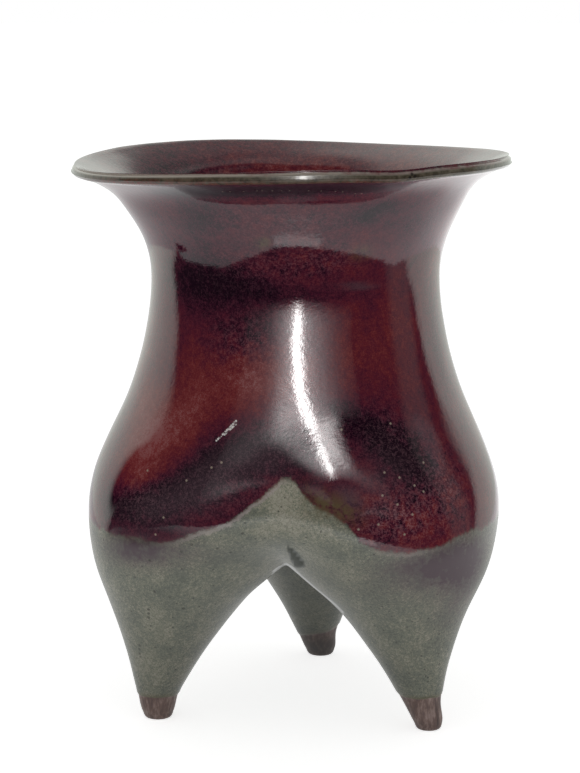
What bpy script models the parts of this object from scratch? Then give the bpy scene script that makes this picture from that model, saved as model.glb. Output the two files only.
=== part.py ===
"""A tripod incense burner in glazed stoneware, after the bronze li: a flared neck over a belly of three hollow
lobes, each drawn down into a short tapering leg with a bare, rounded tip. Neck, lobes and legs are one fired piece
with one wall, open only at the mouth.

Metres, +Z up. The origin is on the floor under the middle of the mouth, and the front faces -Y."""

import math
from collections import namedtuple

import bmesh
import bpy

# Main sizes of the outside.
HEIGHT = 0.1700
RIM_RADIUS = 0.0669
WAIST_RADIUS = 0.0439
WAIST_HEIGHT = 0.1340
BELLY_REACH = 0.0661
BELLY_HEIGHT = 0.0600
ARCH_HEIGHT = 0.0490
ARCH_DEPTH = 0.0210
CROTCH_HEIGHT = 0.0445
FOOT_CIRCLE_RADIUS = 0.0480
FOOT_RADIUS = 0.0056
FOOT_PAD_RADIUS = 0.0032

# The wall, the edge of the mouth, and how far down the legs are hollow.
WALL = 0.0040
LIP_THICKNESS = 0.0024
LEG_HOLLOW_FLOOR = 0.0190

# What the hand and the kiln did. The mouth is oval, tilted and warped, the body leans over to the right, most of
# all at the feet, and the legs aren't equally thick.
RIM_OVAL = 0.0018
RIM_WARP = 0.0010
RIM_TILT = 0.0014
WARP_DIRECTION = math.radians(-60)
LEAN = 0.0035
LEG_GIRTHS = (0.955, 1.07, 1.06)

# Three legs, evenly spaced. The first stands at the front right.
LEGS = 3
FIRST_LEG = math.radians(-37.6)
SECTOR = 2 * math.pi / LEGS

# Points round a lobe, and along the inside of a leg. A narrow strip fills the valley between two lobes.
LOBE_SEGMENTS = 8
INNER_SEGMENTS = 4
LEG_RING = LOBE_SEGMENTS + INNER_SEGMENTS
VALLEY_HALF_ANGLE = math.radians(5.5)

# A level of the form: its height, how far the outside of a lobe reaches from the axis, how far the lobe's own
# centre stands off the axis, and how far the whole level leans over to the right. Where the offset is 0, the
# section is one plain circle.
Level = namedtuple("Level", "height reach offset lean")


def between(low, high, share):
    return low + (high - low) * share


def outline():
    """The levels that the outside is drawn through, from the feet to the edge of the mouth."""

    def leg(height_share, offset_share, girth, lean_share):
        offset = FOOT_CIRCLE_RADIUS * offset_share
        return Level(ARCH_HEIGHT * height_share, offset + FOOT_RADIUS * girth, offset, LEAN * lean_share)

    def belly(height_share, swell, offset_share, lean_share):
        height = between(BELLY_HEIGHT, WAIST_HEIGHT, height_share)
        reach = between(WAIST_RADIUS, BELLY_REACH, swell)
        return Level(height, reach, FOOT_CIRCLE_RADIUS * offset_share, LEAN * lean_share)

    def flare(height_share, spread, lean_share):
        height = between(WAIST_HEIGHT, HEIGHT, height_share)
        return Level(height, between(WAIST_RADIUS, RIM_RADIUS, spread), 0.0, LEAN * lean_share)

    return (
        leg(0.0, 1.0, 0.72, 1.06),
        leg(0.07, 0.995, 0.95, 0.98),
        leg(0.17, 0.973, 1.14, 0.76),
        leg(0.45, 0.907, 2.14, 0.64),
        leg(0.78, 0.822, 3.78, 0.60),
        leg(1.04, 0.722, 5.46, 0.63),
        belly(0.0, 1.0, 0.567, 0.66),
        belly(0.23, 0.86, 0.297, 0.58),
        belly(0.47, 0.44, 0.11, 0.53),
        belly(0.72, 0.135, 0.02, 0.46),
        flare(0.0, 0.0, 0.43),
        flare(0.31, 0.08, 0.42),
        flare(0.58, 0.29, 0.26),
        flare(0.78, 0.52, 0.10),
        flare(0.88, 0.74, 0.04),
        flare(0.938, 0.96, 0.0),
    )


def level_at(height):
    """The level at any height, on a smooth curve through the outline."""
    levels = outline()
    last = len(levels) - 1
    i = min(max(sum(level.height <= height for level in levels) - 1, 0), last - 1)
    before, low, high, after = levels[max(i - 1, 0)], levels[i], levels[i + 1], levels[min(i + 2, last)]
    step = high.height - low.height
    t = (height - low.height) / step
    fields = []
    for p0, p1, p2, p3 in zip(before, low, high, after):
        start = (p2 - p0) / (high.height - before.height) * step
        end = (p3 - p1) / (after.height - low.height) * step
        fields.append(
            (2 * t**3 - 3 * t**2 + 1) * p1
            + (t**3 - 2 * t**2 + t) * start
            + (3 * t**2 - 2 * t**3) * p2
            + (t**3 - t**2) * end
        )
    return Level(*fields)


def flare_share(height):
    """0 up to the waist, and 1 at the edge of the mouth."""
    return min(max((height - WAIST_HEIGHT) / (HEIGHT - WAIST_HEIGHT), 0.0), 1.0)


def inner_level(height):
    """The hollow's level that faces the outside at this height, one wall in along the outline's normal."""
    outer = level_at(height)
    step = 0.0005
    slope = (outer.reach - level_at(height - step).reach) / step
    wall = between(WALL, LIP_THICKNESS, flare_share(height)) / math.hypot(1, slope)
    return outer._replace(height=height + wall * slope, reach=outer.reach - wall)


def lip_levels(outer, inner):
    """The rounded edge of the mouth, from the outer level over to the inner one."""
    middle_height = (outer.height + inner.height) / 2
    middle_reach = (outer.reach + inner.reach) / 2
    half_height = (inner.height - outer.height) / 2
    half_reach = (inner.reach - outer.reach) / 2
    levels = []
    for degrees in (40, 90, 140):
        along = -math.cos(math.radians(degrees))
        out = math.sin(math.radians(degrees))
        height = middle_height + half_height * along - half_reach * out
        reach = middle_reach + half_reach * along + half_height * out
        levels.append(outer._replace(height=height, reach=reach))
    return levels


def foot_levels():
    """Three levels on the floor, for the flat pad that a foot stands on."""
    floor = level_at(0.0)._replace(height=0.0, offset=FOOT_CIRCLE_RADIUS)
    return [floor._replace(reach=floor.offset + FOOT_PAD_RADIUS * share) for share in (1.25, 1.0, 0.6)]


def hollow_end_levels():
    """Three levels that narrow a leg's hollow down to its floor."""
    start = inner_level(ARCH_HEIGHT * 0.55)
    levels = [start]
    for drop, narrowing in ((0.65, 0.75), (1.0, 0.40)):
        height = between(start.height, LEG_HOLLOW_FLOOR, drop)
        around = level_at(height)
        radius = (start.reach - start.offset) * narrowing
        levels.append(around._replace(reach=around.offset + radius))
    return levels


def placed(radius, angle, height, lean):
    """A point of the upright form, where the hand and the kiln left it."""
    twofold = math.cos(2 * (angle - WARP_DIRECTION))
    warped = flare_share(height) ** 2
    radius += warped * RIM_OVAL * twofold
    rise = warped * (RIM_WARP * twofold + RIM_TILT * math.cos(angle))
    return (radius * math.cos(angle) + lean, radius * math.sin(angle), height + rise)


def lobed_radius(angle, level):
    """The distance from the axis to three joined circles, at this angle from the middle of a lobe."""
    lobe = level.reach - level.offset
    across = level.offset * math.sin(angle)
    least = 0.3 * lobe
    reach_in = math.sqrt(max(lobe**2 - across**2, least**2))
    return level.offset * math.cos(angle) + reach_in


def full_ring(cage, level):
    """One ring right round the body. Each lobe has LOBE_SEGMENTS + 1 points, and the valleys join them."""
    half_lobe = SECTOR / 2 - VALLEY_HALF_ANGLE
    ring = []
    for leg in range(LEGS):
        for j in range(LOBE_SEGMENTS + 1):
            angle = half_lobe * (2 * j / LOBE_SEGMENTS - 1)
            turn = FIRST_LEG + leg * SECTOR + angle
            ring.append(cage.verts.new(placed(lobed_radius(angle, level), turn, level.height, level.lean)))
    return ring


def leg_ring(cage, leg, level):
    """A ring round one leg: from one valley over the outside to the next, and back along the inside."""
    middle = FIRST_LEG + leg * SECTOR
    girth = between(LEG_GIRTHS[leg], 1.0, (level.height / ARCH_HEIGHT) ** 2)
    radius = (level.reach - level.offset) * girth
    ring = []
    for j in range(LEG_RING):
        angle = middle + 2 * math.pi * (j - LOBE_SEGMENTS / 2) / LEG_RING
        x = level.offset * math.cos(middle) + radius * math.cos(angle) + level.lean
        y = level.offset * math.sin(middle) + radius * math.sin(angle)
        ring.append(cage.verts.new((x, y, level.height)))
    return ring


def bridge(cage, first, second):
    """Quads between two closed rings of points."""
    for i in range(len(first)):
        j = (i + 1) % len(first)
        cage.faces.new((first[i], first[j], second[j], second[i]))


def close_into_legs(cage, ring, arch_height, crotch_height, leg_levels):
    """Closes a full ring into three legs. A strip runs from each valley under the belly to a small triangle in the
    middle, and a leg hangs from each of the three loops left. The heights are those of the middle of a strip and
    of the triangle. Returns the triangle's corners."""

    def points(radius, height, turn):
        lean = level_at(height).lean
        middles = [FIRST_LEG + leg * SECTOR for leg in range(LEGS)]
        return [cage.verts.new(placed(radius, middle + turn, height, lean)) for middle in middles]

    corner_reach = ARCH_DEPTH * 0.36
    corners = points(corner_reach, crotch_height, 0.0)
    near_sides = points(ARCH_DEPTH, arch_height, 2 * VALLEY_HALF_ANGLE - SECTOR / 2)
    far_sides = points(ARCH_DEPTH, arch_height, SECTOR / 2 - 2 * VALLEY_HALF_ANGLE)
    cage.faces.new(corners[::-1])
    for leg in range(LEGS):
        after = (leg + 1) % LEGS
        outside = ring[leg * (LOBE_SEGMENTS + 1) : (leg + 1) * (LOBE_SEGMENTS + 1)]
        next_valley = ring[after * (LOBE_SEGMENTS + 1)]
        cage.faces.new((next_valley, outside[-1], far_sides[leg], near_sides[after]))
        cage.faces.new((near_sides[after], far_sides[leg], corners[leg], corners[after]))
        loop = outside + [far_sides[leg], corners[leg], near_sides[leg]]
        for level in leg_levels:
            below = leg_ring(cage, leg, level)
            bridge(cage, below, loop)
            loop = below
        cage.faces.new(loop[::-1])
    return corners


def drawn_point(point):
    """Where the smoothed surface passes for this point of the cage."""
    count = len(point.link_edges)
    centres = {face: face.calc_center_median() for face in point.link_faces}
    centre_sum = sum(centres.values(), point.co * 0)
    middle_sum = point.co * 0
    crossing_sum = point.co * 0
    for edge in point.link_edges:
        middle = (edge.verts[0].co + edge.verts[1].co) / 2
        middle_sum += middle
        crossing_sum += (2 * middle + centres[edge.link_faces[0]] + centres[edge.link_faces[1]]) / 4
    first = (centre_sum / count + 2 * middle_sum / count + (count - 3) * point.co) / count
    return (count**2 * first + 4 * crossing_sum + centre_sum) / (count * (count + 5))


def draw_through(points):
    """Moves points of the cage until the smoothed surface passes through where they stood."""
    targets = {point: point.co.copy() for point in points}
    for _ in range(6):
        moves = {point: target - drawn_point(point) for point, target in targets.items()}
        for point, move in moves.items():
            point.co += move


def outer_heights():
    """Heights of the full rings outside, from just over the arches to the edge, closer together as they rise."""
    low = ARCH_HEIGHT
    top = outline()[-1].height
    steps = 12
    crowding = 1.3
    return [between(low, top, 1 - (1 - i / steps) ** crowding) for i in range(steps + 1)]


def vessel_cage():
    """The control cage of outside, lip and hollow, as one closed skin."""
    cage = bmesh.new()
    outer = [level_at(height) for height in outer_heights()]
    inner = [inner_level(height) for height in outer_heights()[1:]]
    lip = lip_levels(outer[-1], inner[-1])
    rings = [full_ring(cage, level) for level in (*outer, *lip, *reversed(inner))]
    for low, high in zip(rings, rings[1:]):
        bridge(cage, low, high)

    under_arch = ARCH_HEIGHT * 0.97
    legs = [level_at(ARCH_HEIGHT * share) for share in (0.77, 0.57, 0.39, 0.25, 0.15, 0.06)]
    free = close_into_legs(cage, rings[0], under_arch, CROTCH_HEIGHT, legs + foot_levels())
    hollows = [inner_level(ARCH_HEIGHT * 0.75), *hollow_end_levels()]
    free += close_into_legs(cage, rings[-1], ARCH_HEIGHT + WALL, CROTCH_HEIGHT + WALL, hollows)
    # The lip turns too tightly to be drawn through its points: it would be pushed out into thin ridges.
    lip_rings = rings[len(outer) - 1 : len(outer) + len(lip) + 1]
    free += [point for ring in lip_rings for point in ring]
    draw_through([point for point in cage.verts if point.co.z > 0 and point not in free])
    bmesh.ops.recalc_face_normals(cage, faces=cage.faces)
    return cage


def stoneware():
    material = bpy.data.materials.new("glazed_stoneware")
    material.use_nodes = True
    shader = material.node_tree.nodes["Principled BSDF"]
    shader.inputs["Base Color"].default_value = (0.130, 0.022, 0.022, 1.0)
    shader.inputs["Roughness"].default_value = 0.12
    shader.inputs["Metallic"].default_value = 0.0
    return material


def make_vessel(collection):
    cage = vessel_cage()
    mesh = bpy.data.meshes.new("vessel")
    cage.to_mesh(mesh)
    cage.free()
    mesh.materials.append(stoneware())
    mesh.shade_smooth()
    vessel = bpy.data.objects.new("vessel", mesh)
    collection.objects.link(vessel)
    rounding = vessel.modifiers.new("rounding", "SUBSURF")
    rounding.levels = 1
    rounding.render_levels = 1
    return vessel


def main():
    for item in list(bpy.data.objects):
        bpy.data.objects.remove(item)
    collection = bpy.data.collections.new("tripod_incense_burner")
    bpy.context.scene.collection.children.link(collection)
    make_vessel(collection)


main()
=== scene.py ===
"""The fine form, the glazes and the studio for a tripod incense burner in glazed stoneware.

Metres, +Z up. The origin is on the floor under the middle of the mouth, and the front faces -Y."""

import math
from collections import namedtuple

import bmesh
import bpy
import numpy as np
from mathutils import Matrix, Vector, noise
from mathutils.bvhtree import BVHTree


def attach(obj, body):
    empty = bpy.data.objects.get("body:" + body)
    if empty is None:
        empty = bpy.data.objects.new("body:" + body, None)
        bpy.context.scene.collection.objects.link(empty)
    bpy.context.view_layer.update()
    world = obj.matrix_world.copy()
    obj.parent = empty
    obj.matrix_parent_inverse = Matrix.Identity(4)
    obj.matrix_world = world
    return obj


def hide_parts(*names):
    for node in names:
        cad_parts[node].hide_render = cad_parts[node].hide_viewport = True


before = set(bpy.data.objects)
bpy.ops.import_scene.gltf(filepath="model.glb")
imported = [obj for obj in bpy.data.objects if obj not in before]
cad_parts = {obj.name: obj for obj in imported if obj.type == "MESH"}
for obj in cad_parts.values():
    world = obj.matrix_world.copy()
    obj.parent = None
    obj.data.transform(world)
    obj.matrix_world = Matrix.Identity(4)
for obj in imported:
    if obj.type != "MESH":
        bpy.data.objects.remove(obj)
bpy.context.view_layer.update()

MM = 0.001

# Main sizes of the outside.
HEIGHT = 0.1700
RIM_RADIUS = 0.0669
WAIST_RADIUS = 0.0439
WAIST_HEIGHT = 0.1340
BELLY_REACH = 0.0661
BELLY_HEIGHT = 0.0600
ARCH_HEIGHT = 0.0490
ARCH_DEPTH = 0.0210
CROTCH_HEIGHT = 0.0445
FOOT_CIRCLE_RADIUS = 0.0480
FOOT_RADIUS = 0.0056
FOOT_PAD_RADIUS = 0.0032

# The wall, the edge of the mouth, and how far down the legs are hollow.
WALL = 0.0040
LIP_THICKNESS = 0.0024
LEG_HOLLOW_FLOOR = 0.0190

# The roll of glaze and clay along the edge of the mouth: its radius and how soft its join with the wall
# is, in millimetres, and how far it hangs down, in metres.
LIP_ROUND = 1.25
LIP_BLEND = 0.45
LIP_DROP = 0.0005

# What the hand and the kiln did. RIM_RIPPLE is the finer rise and fall of the edge of the mouth: how many
# waves go round, and the heights of the cosine wave and the sine wave. UNEVEN is the depth and the size of
# the lumps in the surface, and BARE_DEPTH is how far the bare clay lies below the glaze.
RIM_OVAL = 0.0018
RIM_WARP = 0.0010
RIM_TILT = 0.0014
WARP_DIRECTION = math.radians(-60)
RIM_RIPPLE = ((1, -0.00015, -0.00018), (3, 0.00036, 0.00017))
UNEVEN = ((0.00012, 0.022), (0.00005, 0.009))
BARE_DEPTH = 0.00030
LEAN = 0.0035
LEG_GIRTHS = (0.955, 1.07, 1.06)

LEGS = 3
FIRST_LEG = math.radians(-37.6)
SECTOR = 2 * math.pi / LEGS
LOBE_SEGMENTS = 8
INNER_SEGMENTS = 4
LEG_RING = LOBE_SEGMENTS + INNER_SEGMENTS
VALLEY_HALF_ANGLE = math.radians(5.5)
SMOOTHING_LEVELS = 3

Level = namedtuple("Level", "height reach offset lean")

CAMERA_PLACE = (-0.00018, -0.676, 0.2217)
CAMERA_PITCH = math.radians(90 - 10.23)
CAMERA_LENS = 103.9
SENSOR = 36.0
PICTURE_WIDTH = 580
PICTURE_HEIGHT = 773
FOCAL = CAMERA_LENS / SENSOR * PICTURE_HEIGHT
FAR_AWAY = 1e3

# The azimuth in degrees, and the height in millimetres where the copper-red glaze ends below. It climbs
# in the three valleys between the legs.
RED_EDGE = (
    (-180, 63), (-150, 61.7), (-140, 61.9), (-132, 62), (-124, 63.9), (-117, 66.9),
    (-109, 70.2), (-104, 74.8), (-98, 79.2), (-95, 82.3), (-91, 82.5), (-89, 79), (-86, 75.5),
    (-82, 73.5), (-77, 70.5), (-73, 65), (-69, 62.5), (-62, 60.8), (-52, 61.5), (-44, 64),
    (-30, 64), (-10, 66), (6, 73), (20, 81), (29, 77.5), (44, 67), (60, 63), (80, 61),
    (102, 62.5), (118, 69), (131, 77.5), (142, 82), (150, 78), (162, 67), (180, 63),
)

# Where the glaze stops on each leg, leaving the tip bare: the height in millimetres under the middle of
# the leg, and the slope of the line to the right.
GLAZE_ENDS = ((10.7, 0.0), (8.9, 0.25), (7.5, 0.0))

# A patch: azimuth in degrees, height in millimetres, half width and half height in millimetres, turn in
# degrees and amount. These make the copper red hotter, up to orange, or darker, down to a purple black.
HEAT = (
    (-133, 137, 12, 9, 0, -0.95),
    (-117, 136, 9, 7, 0, -0.70),
    (-103, 136, 9, 5, 0, -0.55),
    (-108, 123, 10, 5, 10, -0.75),
    (-84, 134, 16, 2.6, 0, -0.50),
    (-92, 144, 12, 3.5, 0, -0.10),
    (-57, 120, 15, 17, 0, 0.30),
    (-73, 114, 5, 12, 0, 0.30),
    (-127, 110, 7, 14, 0, 0.42),
    (-152, 98, 9, 10, 0, 0.75),
    (-139, 90, 12, 8, 30, 1.05),
    (-130, 98, 11, 8, 30, 0.45),
    (-108, 109, 10, 9, 0, 1.05),
    (-138, 80.5, 9, 4.5, 22, 0.95),
    (-146, 70, 9, 6, 10, -1.00),
    (-134, 75, 10, 7, 20, -1.10),
    (-122, 81, 10, 7, 35, -1.10),
    (-111, 88, 10, 7, 25, -1.00),
    (-99, 91, 10, 7, 0, -0.90),
    (-87, 89, 9, 8, -10, -0.70),
    (-114, 76, 14, 5, 25, -0.35),
    (-131, 67, 12, 4, 10, -0.18),
    (-76, 101, 6, 4, -20, -0.45),
    (-68, 97, 8, 4.5, -20, -0.85),
    (-60, 90, 9, 7, -30, -1.15),
    (-53, 84, 8, 5.5, -30, -1.00),
    (-95, 152, 42, 9, 0, -0.12),
    (-45, 78, 6, 8, 0, 0.30),
    (-26, 120, 6, 16, 0, -0.35),
    (-63, 71, 9, 5, -10, 0.26),
    (-54, 66, 8, 4, 0, 0.22),
    (-76, 79, 5, 6, -30, -0.05),
    (-67, 157, 5, 2.6, 0, -0.95),
    (-60, 160, 4, 2, 0, -0.80),
    (-84, 158, 9, 4, 0, -0.20),
    (-104, 154, 8, 3, 0, 0.15),
    (-120, 157, 12, 6, 0, -0.55),
    (-45, 152, 10, 8, 0, -0.35),
)

# Where the red is mottled and speckled rather than even.
SPECKLE = (
    (-125, 137, 18, 9, 0, 0.05),
    (-100, 143, 16, 5, 0, 0.40),
    (-78, 145, 10, 4, 0, 0.40),
    (-108, 120, 10, 7, 0, 0.60),
    (-95, 156, 24, 6, 0, 0.30),
    (-135, 73, 12, 6, 15, 0.70),
    (-112, 82, 14, 8, 25, 0.70),
    (-92, 92, 10, 6, 0, 0.70),
    (-63, 72, 12, 8, 0, 1.10),
    (-46, 78, 9, 10, 0, 0.80),
    (-60, 92, 10, 8, -20, 0.50),
)

# The rose and purple wash that ran from the red down over the celadon.
WASH = (
    (-46, 56, 16, 8, 10, 1.40),
    (-39, 46, 9, 12, 0, 0.75),
    (-138, 58.5, 15, 4.8, 6, 1.30),
    (-60, 57, 9, 4, 0, 0.45),
)

# A pale line along the lower end of the red.
PALE_EDGE = (
    (-119, 66, 9, 4, 20, 0.9),
    (-106, 73.5, 8, 5, 40, 1.0),
    (-97, 79.5, 5, 4, 40, 0.8),
    (-60, 60, 8, 3, 0, 0.5),
)

# Brown and olive stains, mostly by the valley.
OLIVE = (
    (-84, 76, 5.5, 4, -30, 0.80),
    (-77, 74, 5, 3, -30, 0.70),
    (-66, 146, 3, 2, 0, 0.60),
    (-101, 149.5, 2.2, 1.3, 20, 0.90),
)

# Painted shade, darkest on the right side of the back leg, on its top under the arch, and on its tip.
PAINTED_SHADE_PATCHES = (
    (64, 30, 5, 16, 0, 0.80),
    (76, 46, 12, 5, 0, 0.50),
    (82, 3, 12, 7, 0, 0.78),
)

# Greyer marks on the red.
DULL = (
    (-66, 136.3, 5.2, 0.8, -3, 0.80),
    (-50, 95, 3, 2, -40, 0.30),
    (-138, 62.5, 14, 2.2, 4, 0.60),
    (-132, 72, 11, 5, 18, 0.35),
    (-117, 80, 12, 7, 32, 0.45),
    (-100, 88, 11, 6, 0, 0.45),
    (-65, 84, 9, 6, -25, 0.25),
    (-75.5, 78, 5, 3.5, -20, 0.75),
)

# The same heat and washed-out places inside the mouth.
INSIDE_HEAT = (
    (92, 160, 26, 7, 0, 0.70),
    (40, 162, 24, 9, 0, 0.50),
    (135, 160, 18, 9, 0, -0.60),
)

# Hollows pressed in by the potter's hand, and a dip in the edge of the mouth, in millimetres. Heights in
# RIM_DIPS, LIP_RED and the painted dark reflection under the lip count from the edge of the mouth.
DENTS = (
    (-129, 86, 9, 8, 0, 1.1),
    (-132, 73, 9, 7, 0, 0.4),
)
RIM_DIPS = (
    (-64, 0, 11, 6, 0, 0.7),
)

# Painted dark reflection of the room under the lip, and red-brown streaks on the lip.
PAINTED_DARK_UNDER_LIP = (
    (-118, -4.6, 14, 1.9, 0, 1.3),
    (-96, -4.6, 14, 1.9, 0, 1.3),
    (-74, -4.6, 14, 1.9, 0, 1.3),
)
LIP_RED = (
    (-135, -1.9, 22, 0.9, 0, 1.0),
    (-105, -2.2, 16, 0.6, 0, 0.8),
    (-72, -2.2, 14, 0.6, 0, 0.8),
)

# Where the glaze is drier and shines less.
DRY = (
    (-106, 84, 13, 4.5, 10, 0.85),
    (-90, 83, 9, 4.5, 0, 0.9),
    (-77, 79.8, 6.5, 4.3, 0, 1.2),
    (-75.5, 75.3, 4.5, 2.6, 0, 1.1),
    (-136, 63.5, 16, 3.4, 5, 1.2),
    (-98, 90.5, 10, 4.5, 0, 0.65),
    (-68, 76, 6, 4, -20, 0.7),
    (-137.5, 90.5, 3.0, 3.5, 30, 0.9),
    (-141, 86.5, 3.5, 3.0, 30, 1.0),
    (-143.5, 82.5, 5.5, 4.5, 0, 1.1),
    (-146, 76.5, 5, 4.5, 0, 1.1),
    (-147.5, 71, 3.5, 4, 0, 0.8),
)

# Where the celadon is paler.
PALE = (
    (-93, 78, 9, 4, 0, 1.30),
    (-152, 26, 14, 14, 0, 0.35),
    (-95, 70, 12, 7, 0, 0.40),
    (-101, 54, 6, 5, 0, 0.35),
)

# The painted dark reflection over the front arch, where three circles overlap, and the painted highlight
# line along the arch's edge. Places and radii are in pixels of the picture.
PAINTED_DARK_REFLECTION_CIRCLES = ((345.1, 536.3, 60.0), (266.8, 581.1, 42.0), (300.0, 467.5, 100.0))
PAINTED_ARCH_HIGHLIGHT_LINE = (
    (272, 573), (278, 568), (285.7, 564.4), (291.5, 567.8), (299.8, 576), (315.7, 590),
    (332.3, 603.2), (342.3, 613.2),
)

# Small marks, at the places where the camera sees them in a picture 580 wide and 773 high: pinholes in
# the red with a pale rim, a row of tiny bubbles under the lip, and dark iron spots in the celadon.
# The strokes set below are rows of pale dots, as many as the count just below, that paint the reflection of a
# small window in the glaze, and LIP_FLAW is a small dark chip in the lip.
WINDOW_DOT_COUNT = 14
PAINTED_WINDOW_STROKES = (
    ((216, 440), (235.5, 420.5)),
    ((224, 434), (236, 423)),
)
LIP_FLAW = ((409.5, 177.0), (411.5, 173.8), (414.3, 175.8))
PINHOLES = (
    (147, 470), (186, 480), (211, 467), (221, 462), (163, 517), (155, 534), (341, 429),
    (390, 423), (384, 472), (399, 477), (414, 485), (423, 462), (423, 491), (397, 504),
    (412, 514), (378, 524), (382, 495), (404, 534), (358, 529),
)
BUBBLES = (
    (222, 191.2), (229.6, 191.2), (243, 191), (256.7, 190.4), (261.4, 190.4), (272, 190.3),
    (281, 190.3), (289, 190.3), (308, 190.3), (320.7, 190.5), (335, 191), (342, 191.4),
    (354.6, 193.3), (361, 193.2),
)
IRON_SPOTS = (
    (148, 609), (148, 613), (148, 617), (139, 645), (139, 649), (139, 653), (154, 591),
    (149, 560), (183, 608), (191, 544), (181, 551), (217, 548), (230, 552), (242, 533),
    (357, 535), (358, 538.5), (359, 542),
)


def between(low, high, share):
    return low + (high - low) * share


def outline():
    """The levels that the outside is drawn through, from the feet to the edge of the mouth."""

    def leg(height_share, offset_share, girth, lean_share):
        offset = FOOT_CIRCLE_RADIUS * offset_share
        return Level(ARCH_HEIGHT * height_share, offset + FOOT_RADIUS * girth, offset, LEAN * lean_share)

    def belly(height_share, swell, offset_share, lean_share):
        height = between(BELLY_HEIGHT, WAIST_HEIGHT, height_share)
        reach = between(WAIST_RADIUS, BELLY_REACH, swell)
        return Level(height, reach, FOOT_CIRCLE_RADIUS * offset_share, LEAN * lean_share)

    def flare(height_share, spread, lean_share):
        height = between(WAIST_HEIGHT, HEIGHT, height_share)
        return Level(height, between(WAIST_RADIUS, RIM_RADIUS, spread), 0.0, LEAN * lean_share)

    return (
        leg(0.0, 1.0, 0.72, 1.06),
        leg(0.07, 0.995, 0.95, 0.98),
        leg(0.17, 0.973, 1.14, 0.76),
        leg(0.45, 0.907, 2.14, 0.64),
        leg(0.78, 0.822, 3.78, 0.60),
        leg(1.04, 0.722, 5.46, 0.63),
        belly(0.0, 1.0, 0.567, 0.66),
        belly(0.23, 0.86, 0.297, 0.58),
        belly(0.47, 0.44, 0.11, 0.53),
        belly(0.72, 0.135, 0.02, 0.46),
        flare(0.0, 0.0, 0.43),
        flare(0.31, 0.08, 0.42),
        flare(0.58, 0.29, 0.26),
        flare(0.78, 0.52, 0.10),
        flare(0.88, 0.74, 0.04),
        flare(0.938, 0.96, 0.0),
    )


def level_at(height):
    """The level at any height, on a smooth curve through the outline."""
    levels = outline()
    last = len(levels) - 1
    i = min(max(sum(level.height <= height for level in levels) - 1, 0), last - 1)
    before, low, high, after = levels[max(i - 1, 0)], levels[i], levels[i + 1], levels[min(i + 2, last)]
    step = high.height - low.height
    t = (height - low.height) / step
    fields = []
    for p0, p1, p2, p3 in zip(before, low, high, after):
        start = (p2 - p0) / (high.height - before.height) * step
        end = (p3 - p1) / (after.height - low.height) * step
        fields.append(
            (2 * t**3 - 3 * t**2 + 1) * p1
            + (t**3 - 2 * t**2 + t) * start
            + (3 * t**2 - 2 * t**3) * p2
            + (t**3 - t**2) * end
        )
    return Level(*fields)


def flare_share(height):
    """0 up to the waist, and 1 at the edge of the mouth."""
    return min(max((height - WAIST_HEIGHT) / (HEIGHT - WAIST_HEIGHT), 0.0), 1.0)


def inner_level(height):
    """The hollow's level that faces the outside at this height, one wall in along the outline's normal."""
    outer = level_at(height)
    step = 0.0005
    slope = (outer.reach - level_at(height - step).reach) / step
    wall = between(WALL, LIP_THICKNESS, flare_share(height)) / math.hypot(1, slope)
    return outer._replace(height=height + wall * slope, reach=outer.reach - wall)


def lip_levels(outer, inner):
    """The rounded edge of the mouth, from the outer level over to the inner one."""
    middle_height = (outer.height + inner.height) / 2
    middle_reach = (outer.reach + inner.reach) / 2
    half_height = (inner.height - outer.height) / 2
    half_reach = (inner.reach - outer.reach) / 2
    levels = []
    for degrees in (40, 90, 140):
        along = -math.cos(math.radians(degrees))
        out = math.sin(math.radians(degrees))
        height = middle_height + half_height * along - half_reach * out
        reach = middle_reach + half_reach * along + half_height * out
        levels.append(outer._replace(height=height, reach=reach))
    return levels


def foot_levels():
    """Three levels on the floor, for the flat pad that a foot stands on."""
    floor = level_at(0.0)._replace(height=0.0, offset=FOOT_CIRCLE_RADIUS)
    return [floor._replace(reach=floor.offset + FOOT_PAD_RADIUS * share) for share in (1.25, 1.0, 0.6)]


def hollow_end_levels():
    """Three levels that narrow a leg's hollow down to its floor."""
    start = inner_level(ARCH_HEIGHT * 0.55)
    levels = [start]
    for drop, narrowing in ((0.65, 0.75), (1.0, 0.40)):
        height = between(start.height, LEG_HOLLOW_FLOOR, drop)
        around = level_at(height)
        radius = (start.reach - start.offset) * narrowing
        levels.append(around._replace(reach=around.offset + radius))
    return levels


def placed(radius, angle, height, lean):
    """A point of the upright form, where the hand and the kiln left it."""
    twofold = math.cos(2 * (angle - WARP_DIRECTION))
    warped = flare_share(height) ** 2
    radius += warped * RIM_OVAL * twofold
    rise = RIM_WARP * twofold + RIM_TILT * math.cos(angle)
    for waves, cosine, sine in RIM_RIPPLE:
        rise += cosine * math.cos(waves * angle) + sine * math.sin(waves * angle)
    return (radius * math.cos(angle) + lean, radius * math.sin(angle), height + warped * rise)


def lobed_radius(angle, level):
    """The distance from the axis to three joined circles, at this angle from the middle of a lobe."""
    lobe = level.reach - level.offset
    across = level.offset * math.sin(angle)
    least = 0.3 * lobe
    reach_in = math.sqrt(max(lobe**2 - across**2, least**2))
    return level.offset * math.cos(angle) + reach_in


def full_ring(cage, level):
    """One ring right round the body. Each lobe has LOBE_SEGMENTS + 1 points, and the valleys join them."""
    half_lobe = SECTOR / 2 - VALLEY_HALF_ANGLE
    ring = []
    for leg in range(LEGS):
        for j in range(LOBE_SEGMENTS + 1):
            angle = half_lobe * (2 * j / LOBE_SEGMENTS - 1)
            turn = FIRST_LEG + leg * SECTOR + angle
            ring.append(cage.verts.new(placed(lobed_radius(angle, level), turn, level.height, level.lean)))
    return ring


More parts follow.
